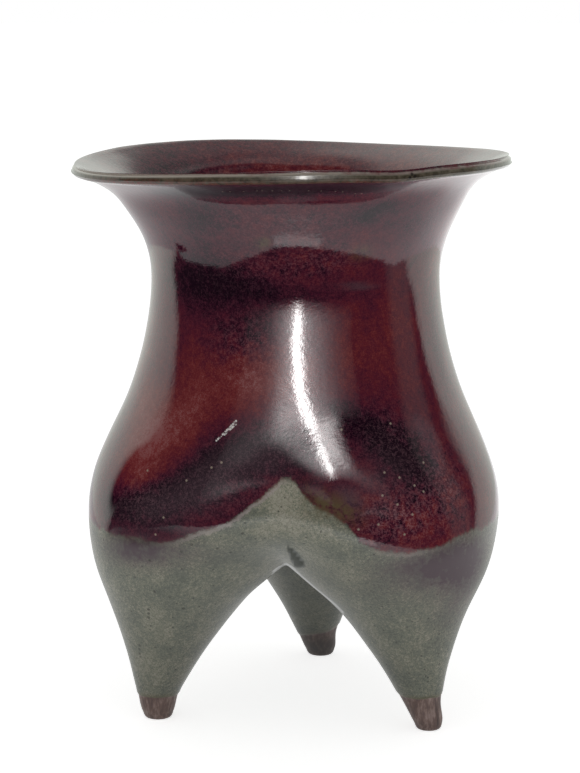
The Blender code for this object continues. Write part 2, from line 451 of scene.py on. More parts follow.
def leg_ring(cage, leg, level):
    """A ring round one leg: from one valley over the outside to the next, and back along the inside."""
    middle = FIRST_LEG + leg * SECTOR
    girth = between(LEG_GIRTHS[leg], 1.0, (level.height / ARCH_HEIGHT) ** 2)
    radius = (level.reach - level.offset) * girth
    ring = []
    for j in range(LEG_RING):
        angle = middle + 2 * math.pi * (j - LOBE_SEGMENTS / 2) / LEG_RING
        x = level.offset * math.cos(middle) + radius * math.cos(angle) + level.lean
        y = level.offset * math.sin(middle) + radius * math.sin(angle)
        ring.append(cage.verts.new((x, y, level.height)))
    return ring


def bridge(cage, first, second):
    """Quads between two closed rings of points."""
    for i in range(len(first)):
        j = (i + 1) % len(first)
        cage.faces.new((first[i], first[j], second[j], second[i]))


def close_into_legs(cage, ring, arch_height, crotch_height, leg_levels):
    """Closes a full ring into three legs. A strip runs from each valley under the belly to a small
    triangle in the middle, and a leg hangs from each of the three loops left. Returns the triangle's
    corners."""

    def points(radius, height, turn):
        lean = level_at(height).lean
        middles = [FIRST_LEG + leg * SECTOR for leg in range(LEGS)]
        return [cage.verts.new(placed(radius, middle + turn, height, lean)) for middle in middles]

    corner_reach = ARCH_DEPTH * 0.36
    corners = points(corner_reach, crotch_height, 0.0)
    near_sides = points(ARCH_DEPTH, arch_height, 2 * VALLEY_HALF_ANGLE - SECTOR / 2)
    far_sides = points(ARCH_DEPTH, arch_height, SECTOR / 2 - 2 * VALLEY_HALF_ANGLE)
    cage.faces.new(corners[::-1])
    for leg in range(LEGS):
        after = (leg + 1) % LEGS
        outside = ring[leg * (LOBE_SEGMENTS + 1) : (leg + 1) * (LOBE_SEGMENTS + 1)]
        next_valley = ring[after * (LOBE_SEGMENTS + 1)]
        cage.faces.new((next_valley, outside[-1], far_sides[leg], near_sides[after]))
        cage.faces.new((near_sides[after], far_sides[leg], corners[leg], corners[after]))
        loop = outside + [far_sides[leg], corners[leg], near_sides[leg]]
        for level in leg_levels:
            below = leg_ring(cage, leg, level)
            bridge(cage, below, loop)
            loop = below
        cage.faces.new(loop[::-1])
    return corners


def drawn_point(point):
    """Where the smoothed surface passes for this point of the cage."""
    count = len(point.link_edges)
    centres = {face: face.calc_center_median() for face in point.link_faces}
    centre_sum = sum(centres.values(), point.co * 0)
    middle_sum = point.co * 0
    crossing_sum = point.co * 0
    for edge in point.link_edges:
        middle = (edge.verts[0].co + edge.verts[1].co) / 2
        middle_sum += middle
        crossing_sum += (2 * middle + centres[edge.link_faces[0]] + centres[edge.link_faces[1]]) / 4
    first = (centre_sum / count + 2 * middle_sum / count + (count - 3) * point.co) / count
    return (count**2 * first + 4 * crossing_sum + centre_sum) / (count * (count + 5))


def draw_through(points):
    """Moves points of the cage until the smoothed surface passes through where they stood."""
    targets = {point: point.co.copy() for point in points}
    for _ in range(6):
        moves = {point: target - drawn_point(point) for point, target in targets.items()}
        for point, move in moves.items():
            point.co += move


def outer_heights():
    """Heights of the full rings outside, from the arches to the edge, closer together as they rise."""
    low = ARCH_HEIGHT
    top = outline()[-1].height
    steps = 12
    crowding = 1.3
    return [between(low, top, 1 - (1 - i / steps) ** crowding) for i in range(steps + 1)]


def vessel_cage():
    """The control cage of outside, lip and hollow, as one closed skin. Its layer "inside" goes from 0
    outside over the lip to 1 in the hollow."""
    cage = bmesh.new()
    inside = cage.verts.layers.float.new("inside")
    outer = [level_at(height) for height in outer_heights()]
    inner = [inner_level(height) for height in outer_heights()[1:]]
    lip = lip_levels(outer[-1], inner[-1])
    outer_rings = [full_ring(cage, level) for level in outer]
    legs = [level_at(ARCH_HEIGHT * share) for share in (0.77, 0.57, 0.39, 0.25, 0.15, 0.06)]
    free = close_into_legs(cage, outer_rings[0], ARCH_HEIGHT * 0.97, CROTCH_HEIGHT, legs + foot_levels())
    outside_points = set(cage.verts)
    lip_rings = [full_ring(cage, level) for level in lip]
    for ring, share in zip(lip_rings, (0.25, 0.5, 0.75)):
        for point in ring:
            point[inside] = share
            outside_points.add(point)
    inner_rings = [full_ring(cage, level) for level in reversed(inner)]
    rings = outer_rings + lip_rings + inner_rings
    for low, high in zip(rings, rings[1:]):
        bridge(cage, low, high)
    hollows = [inner_level(ARCH_HEIGHT * 0.75), *hollow_end_levels()]
    free += close_into_legs(cage, rings[-1], ARCH_HEIGHT + WALL, CROTCH_HEIGHT + WALL, hollows)
    for point in cage.verts:
        if point not in outside_points:
            point[inside] = 1.0
    draw_through([point for point in cage.verts if point.co.z > 0 and point not in free])
    bmesh.ops.recalc_face_normals(cage, faces=cage.faces)
    return cage


def smoothed_mesh(cage):
    """The cage rounded off into a fine mesh."""
    coarse = bpy.data.meshes.new("cage")
    cage.to_mesh(coarse)
    cage.free()
    holder = bpy.data.objects.new("cage", coarse)
    bpy.context.scene.collection.objects.link(holder)
    rounding = holder.modifiers.new("rounding", "SUBSURF")
    rounding.levels = SMOOTHING_LEVELS
    rounding.render_levels = SMOOTHING_LEVELS
    evaluated = holder.evaluated_get(bpy.context.evaluated_depsgraph_get())
    fine = bpy.data.meshes.new_from_object(evaluated)
    fine.name = "vessel_fine"
    bpy.data.objects.remove(holder)
    bpy.data.meshes.remove(coarse)
    return fine


def read_points(mesh, source, width):
    values = np.empty(len(mesh.vertices) * width)
    source.foreach_get("co" if width == 3 else "value", values)
    return values.reshape(-1, width) if width > 1 else values


def waves(points, size, seed):
    """Smooth noise from about -1 to 1, with lumps of this size."""
    shift = Vector((seed * 7.3, seed * 3.1, seed * 5.7))
    return np.array([noise.noise(Vector(point) / size + shift) for point in points])


def smooth_step(low, high, values):
    t = np.clip((values - low) / (high - low), 0.0, 1.0)
    return t * t * (3 - 2 * t)


class Surface:
    """Where every point of the mesh is, for the glazes: azimuth in degrees, lengths in millimetres."""

    def __init__(self, mesh):
        self.points = read_points(mesh, mesh.vertices, 3)
        self.inside = read_points(mesh, mesh.attributes["inside"].data, 1)
        heights = self.points[:, 2]
        steps = np.linspace(0, HEIGHT, 60)
        lean = np.interp(heights, steps, [level_at(height).lean for height in steps])
        self.across = self.points[:, 0] - lean
        self.deep = self.points[:, 1]
        self.azimuth = np.degrees(np.arctan2(self.deep, self.across))
        self.radius = np.hypot(self.across, self.deep) / MM
        self.height = heights / MM
        lip_radius, lip_height = self.lip_middle()
        self.lip_out = self.radius - lip_radius
        self.lip_up = self.height - lip_height
        self.from_edge = self.lip_up - LIP_ROUND

    def lip_middle(self):
        """The radius and height of the middle of the lip's roll, at every point's azimuth."""
        outer = level_at(outline()[-1].height)
        inner = inner_level(outer.height)
        reach, height = (outer.reach + inner.reach) / 2, (outer.height + inner.height) / 2
        degrees = np.arange(-180, 181, 5)
        height -= LIP_DROP
        ring = np.array([placed(reach, math.radians(turn), height, outer.lean) for turn in degrees])
        radius = np.hypot(ring[:, 0] - outer.lean, ring[:, 1])
        return [np.interp(self.azimuth, degrees, values) / MM for values in (radius, ring[:, 2])]

    def lip_roll(self):
        """How far the lip's roll moves each point, outwards and upwards."""
        apart = np.hypot(self.lip_out, self.lip_up)
        over = apart - LIP_ROUND
        swollen = (apart + LIP_ROUND + np.sqrt(over**2 + LIP_BLEND**2)) / 2
        share = np.where(over < 8 * LIP_BLEND, swollen / np.maximum(apart, 0.1) - 1, 0.0)
        return self.lip_out * share, self.lip_up * share

    def patches(self, patches, from_edge=False):
        total = np.zeros(len(self.points))
        level = self.from_edge if from_edge else self.height
        for azimuth, height, half_width, half_height, turn, amount in patches:
            apart = (self.azimuth - azimuth + 180) % 360 - 180
            along = np.radians(apart) * self.radius
            up = level - height
            cosine, sine = math.cos(math.radians(turn)), math.sin(math.radians(turn))
            u = (along * cosine + up * sine) / half_width
            v = (up * cosine - along * sine) / half_height
            total += amount * np.exp(-(u**2 + v**2))
        return total


def glaze_ends(surface):
    """How far each point is above the end of the glaze on its leg, in millimetres."""
    leg = np.round((surface.azimuth - math.degrees(FIRST_LEG)) / math.degrees(SECTOR)).astype(int) % LEGS
    middles = FIRST_LEG + SECTOR * np.arange(LEGS)
    height, slope = np.array(GLAZE_ENDS)[leg].T
    sideways = surface.across / MM - FOOT_CIRCLE_RADIUS / MM * np.cos(middles[leg])
    return surface.height - height - slope * sideways + 0.5 * waves(surface.points, 0.005, 3)


def in_picture(points):
    """Where the camera sees each point, in pixels."""
    turn = np.array(Matrix.Rotation(CAMERA_PITCH, 3, "X"))
    x, y, z = ((points - np.array(CAMERA_PLACE)) @ turn).T
    return PICTURE_WIDTH / 2 - 0.5 - FOCAL * x / z, PICTURE_HEIGHT / 2 - 0.5 + FOCAL * y / z


def from_line(x, y, line):
    """The distance in pixels from places in the picture to a line through points."""
    nearest = np.full(len(x), FAR_AWAY)
    for (x1, y1), (x2, y2) in zip(line, line[1:]):
        length = math.hypot(x2 - x1, y2 - y1)
        along = ((x - x1) * (x2 - x1) + (y - y1) * (y2 - y1)) / length**2
        along = np.clip(along, 0, 1)
        nearest = np.minimum(nearest, np.hypot(x - between(x1, x2, along), y - between(y1, y2, along)))
    return nearest


def store(mesh, name, values):
    attribute = mesh.attributes.new(name, "FLOAT", "POINT")
    attribute.data.foreach_set("value", np.asarray(values, dtype=np.float32))


def make_vessel():
    mesh = smoothed_mesh(vessel_cage())
    surface = Surface(mesh)
    points = surface.points
    normals = np.empty(len(points) * 3)
    mesh.vertices.foreach_get("normal", normals)
    normals = normals.reshape(-1, 3)

    above_end = glaze_ends(surface)
    on_floor = smooth_step(0.0, 0.002, points[:, 2])
    hand = sum(depth * waves(points, size, seed) for seed, (depth, size) in enumerate(UNEVEN, 1))
    bare_dip = -BARE_DEPTH * (1 - smooth_step(-0.3, 0.5, above_end))
    outside = 1 - smooth_step(0.0, 0.3, surface.inside)
    dents = -MM * surface.patches(DENTS)
    moved = points + normals * (on_floor * (hand + (bare_dip + dents) * outside))[:, None]
    roll_out, roll_up = surface.lip_roll()
    turn = np.radians(surface.azimuth)
    moved += MM * np.stack((roll_out * np.cos(turn), roll_out * np.sin(turn), roll_up), axis=1)
    moved[:, 2] -= MM * surface.patches(RIM_DIPS, from_edge=True)
    mesh.vertices.foreach_set("co", moved.ravel())
    mesh.update()

    azimuths, edges = zip(*RED_EDGE)
    red_edge = surface.height - np.interp(surface.azimuth, azimuths, edges)
    red_edge += 0.8 * waves(points, 0.010, 4) + 0.5 * waves(points, 0.004, 5)
    inside = surface.inside > 0.5
    red_edge[inside] = 20.0
    hidden = smooth_step(60, 80, np.abs(surface.azimuth + 92))
    heat = surface.patches(HEAT) + hidden * 0.9 * waves(points, 0.028, 6)
    edge_band = np.exp(-(((red_edge - 9) / 7) ** 2))
    heat -= hidden * 0.5 * edge_band
    # Painted dark reflection of the room under the lip.
    heat -= surface.patches(PAINTED_DARK_UNDER_LIP, from_edge=True)
    heat[inside] = surface.patches(INSIDE_HEAT)[inside] - 0.05
    speckle = surface.patches(SPECKLE) + hidden * 0.5
    speckle[inside] = 0.4
    wash = surface.patches(WASH) + hidden * 0.5 * np.exp(-(((red_edge + 3) / 4) ** 2))
    store(mesh, "red_edge", red_edge)
    store(mesh, "warmth", heat)
    store(mesh, "speckle", speckle)
    store(mesh, "wash", wash)
    store(mesh, "dull", surface.patches(DULL))
    # Painted shade on the back leg and its tip.
    store(mesh, "painted_shade", surface.patches(PAINTED_SHADE_PATCHES) * (1 - inside))
    store(mesh, "pale", surface.patches(PALE))
    store(mesh, "from_lip", np.hypot(surface.lip_out, surface.lip_up) - LIP_ROUND)
    store(mesh, "lip_red", surface.patches(LIP_RED, from_edge=True))
    x, y = in_picture(moved)
    away = FAR_AWAY * (inside | (surface.deep > -0.005))
    # Painted dark reflection over the front arch, inside all three circles.
    painted_dark_reflection = away + np.max([np.hypot(x - cx, y - cy) - radius for cx, cy, radius in PAINTED_DARK_REFLECTION_CIRCLES], axis=0)
    store(mesh, "painted_dark_reflection", painted_dark_reflection)
    # The shine is also lowered under the painted dark reflection over the front arch.
    store(mesh, "dry", surface.patches(DRY) * (1 - inside) + 0.85 * smooth_step(1.2, -1.0, painted_dark_reflection))
    # Painted highlight along the edge of the front arch.
    store(mesh, "painted_arch_highlight", away + from_line(x, y, PAINTED_ARCH_HIGHLIGHT_LINE))
    store(mesh, "pale_edge", surface.patches(PALE_EDGE) * (1 - inside))
    store(mesh, "olive", surface.patches(OLIVE))
    store(mesh, "above_end", np.where(inside, 20.0, above_end))

    mesh.shade_smooth()
    mesh.materials.append(glazed_stoneware(marks_on(mesh)))
    vessel = bpy.data.objects.new("vessel_glazed", mesh)
    bpy.context.scene.collection.objects.link(vessel)
    return vessel


def marks_on(mesh):
    """The points of the vessel under the small marks, found by looking from the camera."""
    form = bmesh.new()
    form.from_mesh(mesh)
    tree = BVHTree.FromBMesh(form)
    form.free()
    turn = Matrix.Rotation(CAMERA_PITCH, 3, "X")

    def under(mark):
        x, y = mark[0] + 0.5 - PICTURE_WIDTH / 2, PICTURE_HEIGHT / 2 - mark[1] - 0.5
        return tree.ray_cast(Vector(CAMERA_PLACE), turn @ Vector((x, y, -FOCAL)))[0]

    shares = [i / (WINDOW_DOT_COUNT - 1) for i in range(WINDOW_DOT_COUNT)]
    # Dots along the strokes of the painted window reflection.
    window_points = [
        (between(x1, x2, share), between(y1, y2, share))
        for (x1, y1), (x2, y2) in PAINTED_WINDOW_STROKES
        for share in shares
    ]
    kinds = (PINHOLES, BUBBLES, IRON_SPOTS, window_points, LIP_FLAW)
    return [[under(mark) for mark in marks] for marks in kinds]


class Nodes:
    """A short way to write a material's nodes. Every call returns the new node's output."""

    def __init__(self, tree):
        self.tree = tree

    def add(self, kind, inputs, output=0, **settings):
        node = self.tree.nodes.new(kind)
        for name, value in settings.items():
            setattr(node, name, value)
        for key, value in inputs.items():
            if isinstance(value, bpy.types.NodeSocket):
                self.tree.links.new(value, node.inputs[key])
            else:
                node.inputs[key].default_value = value
        return node.outputs[output]

    def math(self, operation, first, second=0.0, third=0.0):
        return self.add("ShaderNodeMath", {0: first, 1: second, 2: third}, operation=operation)

    def sum(self, *terms):
        total = terms[0]
        for term in terms[1:]:
            total = self.math("ADD", total, term)
        return total

    def times(self, first, second):
        return self.math("MULTIPLY", first, second)

    def scaled(self, value, factor, shift=0.0):
        return self.math("MULTIPLY_ADD", value, factor, shift)

    def step(self, value, low, high, to_low=0.0, to_high=1.0):
        inputs = {"Value": value, "From Min": low, "From Max": high, "To Min": to_low, "To Max": to_high}
        return self.add("ShaderNodeMapRange", inputs, interpolation_type="SMOOTHSTEP")

    def mix(self, factor, first, second, blend="MIX"):
        inputs = {0: factor, 6: first, 7: second}
        return self.add("ShaderNodeMix", inputs, 2, data_type="RGBA", blend_type=blend)

    def blend(self, factor, first, second):
        return self.add("ShaderNodeMix", {0: factor, 2: first, 3: second}, 0, data_type="FLOAT")

    def shifted(self, place, shift):
        return self.add("ShaderNodeVectorMath", {0: place, 1: shift}, "Vector", operation="ADD")

    def distance(self, first, second):
        return self.add("ShaderNodeVectorMath", {0: first, 1: second}, "Value", operation="DISTANCE")

    def attribute(self, name):
        return self.add("ShaderNodeAttribute", {}, "Fac", attribute_name=name)

    def noise(self, place, size, detail=2.0, roughness=0.5):
        inputs = {"Vector": place, "Scale": 1 / size, "Detail": detail, "Roughness": roughness}
        return self.add("ShaderNodeTexNoise", inputs, "Fac")

    def cells(self, place, size, feature, output="Distance", randomness=1.0):
        inputs = {"Vector": place, "Scale": 1 / size, "Randomness": randomness}
        return self.add("ShaderNodeTexVoronoi", inputs, output, feature=feature)

    def dots(self, place, points, radius):
        """1 within the radius of any of the points."""
        nearest = 1.0
        for point in points:
            nearest = self.math("MINIMUM", nearest, self.distance(place, point))
        return self.step(nearest, radius * 0.6, radius * 1.2, 1.0, 0.0)

    def ramp(self, value, stops):
        node = self.tree.nodes.new("ShaderNodeValToRGB")
        elements = node.color_ramp.elements
        first, *middle, last = stops
        elements[0].position, elements[-1].position = first[0], last[0]
        elements[0].color, elements[-1].color = (*first[1], 1.0), (*last[1], 1.0)
        for position, colour in middle:
            elements.new(position).color = (*colour, 1.0)
        self.tree.links.new(value, node.inputs[0])
        return node.outputs[0]


COPPER_RED = (
    (0.00, (0.013, 0.002, 0.009)),
    (0.20, (0.040, 0.006, 0.019)),
    (0.40, (0.095, 0.012, 0.030)),
    (0.58, (0.140, 0.016, 0.029)),
    (0.72, (0.195, 0.027, 0.030)),
    (0.86, (0.240, 0.043, 0.043)),
    (1.00, (0.310, 0.105, 0.105)),
)
CELADON = (
    (0.00, (0.135, 0.146, 0.112)),
    (0.35, (0.215, 0.226, 0.178)),
    (0.62, (0.248, 0.254, 0.182)),
    (1.00, (0.420, 0.395, 0.310)),
)
LIP = (
    (0.20, (0.040, 0.034, 0.022)),
    (0.50, (0.105, 0.092, 0.062)),
    (0.80, (0.170, 0.150, 0.105)),
)
BARE = (
    (0.25, (0.050, 0.024, 0.022)),
    (0.50, (0.200, 0.122, 0.102)),
    (0.75, (0.600, 0.450, 0.400)),
)

# Colours of single features of the glaze and clay, and of the painted shade, reflections and highlights,
# radii of the small marks, and where pale specks start.
FROST = (0.260, 0.135, 0.160, 1.0)
DULL_RED = (0.125, 0.082, 0.098, 1.0)
CRACK = (0.070, 0.076, 0.055, 1.0)
DARK_SPECK = (0.035, 0.037, 0.025, 1.0)
PALE_SPECK = (0.38, 0.38, 0.31, 1.0)
WASH_PURPLE = (0.080, 0.046, 0.060, 1.0)
IRON = (0.018, 0.020, 0.010, 1.0)
PAINTED_DARK_REFLECTION_COLOUR = (0.060, 0.070, 0.054, 1.0)
PAINTED_ARCH_HIGHLIGHT_COLOUR = (1.0, 1.0, 0.97, 1.0)
EDGE_PALE = (0.46, 0.38, 0.37, 1.0)
OLIVE_BROWN = (0.130, 0.105, 0.050, 1.0)
MARK_PALE = (0.42, 0.34, 0.27, 1.0)
PAINTED_WINDOW_WHITE = (0.95, 0.92, 0.88, 1.0)
LIP_STREAK = (0.190, 0.032, 0.026, 1.0)
LIP_PAINTED_HIGHLIGHT = (0.620, 0.550, 0.470, 1.0)
FLAW_DARK = (0.022, 0.018, 0.016, 1.0)
FRINGE = (0.150, 0.120, 0.040, 1.0)
PAINTED_SHADE_COLOUR = (0.020, 0.026, 0.026, 1.0)
PINHOLE_RADIUS = 0.00038
BUBBLE_RADIUS = 0.00026
WINDOW_DOT_RADIUS = 0.00034
SPOT_RADIUS = 0.00055
PALE_SPECKS_SHIFT = (0.031, 0.017, 0.023)


def glazed_stoneware(marks):
    pinholes, bubbles, iron_spots, window_points, flaw = marks
    material = bpy.data.materials.new("glazed_stoneware")
    material.use_nodes = True
    tree = material.node_tree
    shader = tree.nodes["Principled BSDF"]
    n = Nodes(tree)
    place = n.add("ShaderNodeTexCoord", {}, "Object")
    grain = n.noise(place, 0.00036, 2.0, 0.7)
    flecks = n.noise(place, 0.00090, 2.0, 0.6)
    mottle = n.noise(place, 0.0025, 3.0, 0.65)
    cloud = n.noise(place, 0.010, 2.0, 0.5)

    # Copper red, with its mottling and grain.
    speckle = n.attribute("speckle")
    tone = n.sum(
        n.scaled(n.attribute("warmth"), 0.42, 0.46),
        n.times(n.scaled(mottle, 1.0, -0.5), n.scaled(speckle, 1.50, 0.45)),
        n.times(n.scaled(flecks, 1.0, -0.5), n.scaled(speckle, 0.80, 0.35)),
        n.times(n.scaled(grain, 1.0, -0.5), n.scaled(speckle, 0.50, 0.75)),
        n.scaled(cloud, 0.35, -0.175),
    )
    red = n.ramp(tone, COPPER_RED)
    frosted = n.times(n.step(n.sum(grain, flecks), 0.90, 1.25), n.scaled(speckle, 0.55, 0.05))
    red = n.mix(n.math("MINIMUM", frosted, 0.7), red, FROST)
    dull = n.times(n.attribute("dull"), n.step(grain, 0.3, 0.6, 0.5, 1.0))
    red = n.mix(n.math("MINIMUM", dull, 0.9), red, DULL_RED)

    # Celadon, with its crackle and small dark and pale specks, and the painted dark reflection and painted
    # highlight at the front arch.
    shaken = n.shifted(place, n.scaled(mottle, 0.0016))
    crackle = n.cells(shaken, 0.0015, "DISTANCE_TO_EDGE")
    crack = n.times(n.step(crackle, 0.0, 0.14, 1.0, 0.0), n.step(mottle, 0.35, 0.65, 0.10, 0.38))
    celadon_tone = n.sum(
        n.scaled(cloud, 1.4, -0.22),
        n.scaled(mottle, 1.0, -0.50),
        n.scaled(flecks, 1.6, -0.80),
        n.scaled(grain, 2.5, -1.25),
        n.scaled(n.attribute("pale"), 0.5),
    )
    celadon = n.ramp(celadon_tone, CELADON)
    celadon = n.mix(crack, celadon, CRACK)
    dark_specks = n.step(n.cells(place, 0.0029, "F1"), 0.06, 0.15, 0.75, 0.0)
    celadon = n.mix(dark_specks, celadon, DARK_SPECK)
    pale_specks = n.step(n.cells(n.shifted(place, PALE_SPECKS_SHIFT), 0.0030, "F1"), 0.05, 0.12, 0.5, 0.0)
    celadon = n.mix(pale_specks, celadon, PALE_SPECK)
    wash = n.times(n.attribute("wash"), n.step(mottle, 0.25, 0.7, 0.55, 1.0))
    celadon = n.mix(n.math("MINIMUM", wash, 1.0), celadon, WASH_PURPLE)
    spotted = n.times(n.dots(place, iron_spots, SPOT_RADIUS), n.step(grain, 0.38, 0.58, 0.1, 0.9))
    celadon = n.mix(spotted, celadon, IRON)
    # Painted dark reflection over the front arch.
    celadon = n.mix(n.step(n.attribute("painted_dark_reflection"), -1.3, 0.9, 0.9, 0.0), celadon, PAINTED_DARK_REFLECTION_COLOUR)
    # Painted highlight: a white line along the front arch's edge.
    celadon = n.mix(n.step(n.attribute("painted_arch_highlight"), 1.2, 2.6, 1.0, 0.0), celadon, PAINTED_ARCH_HIGHLIGHT_COLOUR)

    red_edge = n.attribute("red_edge")
    ragged = n.sum(red_edge, n.scaled(mottle, 2.4, -1.2), n.scaled(grain, 2.0, -1.0))
    glaze = n.mix(n.step(ragged, -0.6, 1.0), celadon, red)
    along_edge = n.step(n.math("ABSOLUTE", n.scaled(ragged, 1.0, 0.6)), 0.2, 1.0, 0.60, 0.0)
    pale_edge = n.times(n.math("MINIMUM", n.attribute("pale_edge"), 1.0), along_edge)
    glaze = n.mix(pale_edge, glaze, EDGE_PALE)
    olive = n.times(n.attribute("olive"), n.step(mottle, 0.3, 0.6))
    glaze = n.mix(n.math("MINIMUM", olive, 0.85), glaze, OLIVE_BROWN)
    faint = n.scaled(n.dots(place, bubbles, BUBBLE_RADIUS), 0.5)
    small = n.math("MAXIMUM", n.dots(place, pinholes, PINHOLE_RADIUS), faint)
    glaze = n.mix(n.scaled(small, 0.85), glaze, MARK_PALE)
    # Painted reflection of a small window: pale strokes of dots.
    window_glint = n.times(n.dots(place, window_points, WINDOW_DOT_RADIUS), n.step(flecks, 0.42, 0.56, 0.05, 1.0))
    glaze = n.mix(window_glint, glaze, PAINTED_WINDOW_WHITE)

    # The lip, where the glaze drew thin, with a painted highlight along its crest.
    inside = n.attribute("inside")
    from_lip = n.sum(n.attribute("from_lip"), n.scaled(mottle, 0.4, -0.2))
    lip = n.times(n.step(from_lip, 0.25, 0.60, 1.0, 0.0), n.step(inside, 0.80, 0.95, 1.0, 0.0))
    lip_colour = n.ramp(n.sum(n.scaled(mottle, 1.3, -0.15), n.scaled(flecks, 0.6, -0.3)), LIP)
    streaked = n.times(n.attribute("lip_red"), n.step(flecks, 0.35, 0.6))
    lip_colour = n.mix(n.math("MINIMUM", streaked, 0.9), lip_colour, LIP_STREAK)
    # Painted highlight along the crest of the lip.
    lip_colour = n.mix(n.step(inside, 0.40, 0.62, 0.0, 0.9), lip_colour, LIP_PAINTED_HIGHLIGHT)
    glaze = n.mix(n.scaled(lip, 0.95), glaze, lip_colour)
    glaze = n.mix(n.scaled(n.dots(place, flaw, SPOT_RADIUS), 0.85), glaze, FLAW_DARK)

    # Bare tips of the feet.
    above_end = n.sum(n.attribute("above_end"), n.scaled(grain, 0.6, -0.3))
    bare = n.step(above_end, -0.15, 0.15, 1.0, 0.0)
    streaks = n.add("ShaderNodeMapping", {"Vector": place, "Scale": (1.0, 1.0, 0.25)})
    clay = n.ramp(n.noise(streaks, 0.0014, 4.0, 0.65), BARE)
    fringe = n.times(n.step(above_end, 0.0, 1.8, 1.0, 0.0), 0.65)
    glaze = n.mix(fringe, glaze, FRINGE)
    colour = n.mix(bare, glaze, clay)
    # Painted shade on the back leg and its tip, over glaze and clay alike.
    colour = n.mix(n.math("MINIMUM", n.attribute("painted_shade"), 0.9), colour, PAINTED_SHADE_COLOUR)

    # A smooth glaze with a slight orange peel and grain, and dry clay at the tips.
    peel = n.sum(n.noise(place, 0.0016, 1.0), n.scaled(n.noise(place, 0.00042, 1.0), 0.40))
    clay_relief = n.times(bare, n.noise(streaks, 0.0008, 3.0))
    relief = n.sum(peel, n.scaled(clay_relief, 3.0))
    bump = n.add("ShaderNodeBump", {"Height": relief, "Strength": 0.12, "Distance": 0.0002}, "Normal")
    softer = n.step(red_edge, -1.0, 1.0, 0.19, 0.0)

    tree.links.new(colour, shader.inputs["Base Color"])
    roughness = n.sum(n.scaled(bare, 0.22, 0.05), softer, n.scaled(grain, 0.04))
    tree.links.new(roughness, shader.inputs["Roughness"])
    less_dry = n.step(n.attribute("dry"), 0.1, 1.0, 0.5, 0.0)
    shine = n.times(less_dry, n.step(lip, 0.3, 0.9, 1.0, 0.5))
    tree.links.new(shine, shader.inputs["Specular IOR Level"])
    tree.links.new(bump, shader.inputs["Normal"])
    shader.inputs["IOR"].default_value = 1.52
    return material


# The studio. White cloth behind and a white table reach the glaze as reflections, the room in front is
# dark, and one long narrow lamp over the camera draws the highlight down the front. CLOTH holds how the
# cloth's light falls off from its edge, as shares of CLOTH_LIGHT.
CLOTH_LIGHT = 1.30
CLOTH_TINT = (0.95, 1.00, 0.93, 1.0)
CLOTH = ((0.07, 0.02), (0.12, 0.70), (0.20, 1.00), (0.42, 0.95), (0.65, 0.85), (0.78, 0.72))
CLOTH_EDGE = 0.29
CLOTH_EDGE_TURN = 0.04
CLOTH_EDGE_TILT = 0.60
DIM_WALL = (0.96, 0.995, 0.32)
DIM_ABOVE = (0.80, 0.93, 0.45)
DARK_ABOVE = (0.29, 0.62, 0.73)
DARK_ABOVE_REACH = (0.90, 0.985, 0.30)
CLOTH_EDGE_SOFTER = (0.12, 0.36, 0.30)
AMBIENT = 0.45
TABLE_EDGE = (
    (-0.290, 1.200), (-0.290, 0.085), (-0.272, 0.060), (-0.330, 0.030), (-0.322, -0.035),
    (-0.298, -0.094), (-0.274, -0.131), (-0.249, -0.163), (-0.192, -0.171), (-0.146, -0.165),
    (-0.111, -0.157), (-0.076, -0.147), (-0.048, -0.144), (0.014, -0.143), (0.110, -0.139),
    (0.200, -0.116), (0.300, -0.066), (0.320, -0.045), (0.320, 1.200),
)
DARK_CARD = ((-0.245, 0.070), (-0.235, 0.035), (-0.250, 0.012), (-0.272, 0.030), (-0.272, 0.060))
TABLE_LIGHTS = (0.85, 1.30)
TABLE_TINT = (0.99, 1.00, 1.00)
TABLE_SHADE = (0.04, 0.24, 0.50)
TABLE_SHADE_PLACE = (0.050, 0.060, 0.0)
TABLE_SHADE_ON_CLAY = (0.04, 0.22, 0.05)
UNDER_VESSEL = (0.0, 0.0, 0.0)
GLARE = (-0.040, 0.045, -0.142, -0.118)
GLARE_LIGHT = 2.4
ROOM_HEIGHT = 0.11
LAMP_DISTANCE = 1.0
LAMP_AZIMUTH = math.radians(2.2)
LAMP_HALF_TURN = math.radians(40)
LAMP_CORE = math.radians(2.4)
LAMP_SPREAD = math.radians(10.5)
LAMP_RISES = tuple(math.radians(rise) for rise in (-4, 6, 23.5, 30))
LAMP_ARM = (*(math.radians(turn) for turn in (29.2, 3.0, 7.0, 27.0)), 12.0)
LAMP_BLOOM = (*(math.radians(turn) for turn in (-9.0, 7.0, 19.0, 3.5)), 3.5)
LAMP_LIGHT = 34.0
LAMP_GLOW = 9.0
LAMP_TINT = (1.0, 0.98, 0.97)
FLOOR_SIZE = 12.0
WHITE = (1.0, 1.0, 1.0)

# A faint window in the room: azimuth from the front, elevation, half width and half height, all in
# degrees, and its light.
WINDOW = (95.0, 25.0, 10.0, 3.0, 0.5)


def emitter(name, colour, strength):
    """A material that only shines. The strength is a number, or a function that takes Nodes and makes one."""
    material = bpy.data.materials.new(name)
    material.use_nodes = True
    tree = material.node_tree
    tree.nodes.clear()
    n = Nodes(tree)
    amount = strength(n) if callable(strength) else strength
    light = n.add("ShaderNodeEmission", {"Color": (*colour, 1.0), "Strength": amount})
    output = tree.nodes.new("ShaderNodeOutputMaterial")
    tree.links.new(light, output.inputs["Surface"])
    return material


def stage_mesh(name, points, faces, material):
    mesh = bpy.data.meshes.new(name)
    mesh.from_pydata(points, [], faces)
    mesh.materials.append(material)
    item = bpy.data.objects.new(name, mesh)
    bpy.context.scene.collection.objects.link(item)
    return item


def flat(name, left, right, front, back, height, material):
    points = [(left, front, height), (right, front, height), (right, back, height), (left, back, height)]
    return stage_mesh(name, points, [(0, 1, 2, 3)], material)


def seen_in_glaze_only(item):
    item.visible_camera = False
    item.visible_diffuse = False
    item.visible_transmission = False
    item.visible_volume_scatter = False
    item.visible_shadow = False


def seen_by_clay_only(item):
    seen_in_glaze_only(item)
    item.visible_diffuse = True
    item.visible_glossy = False


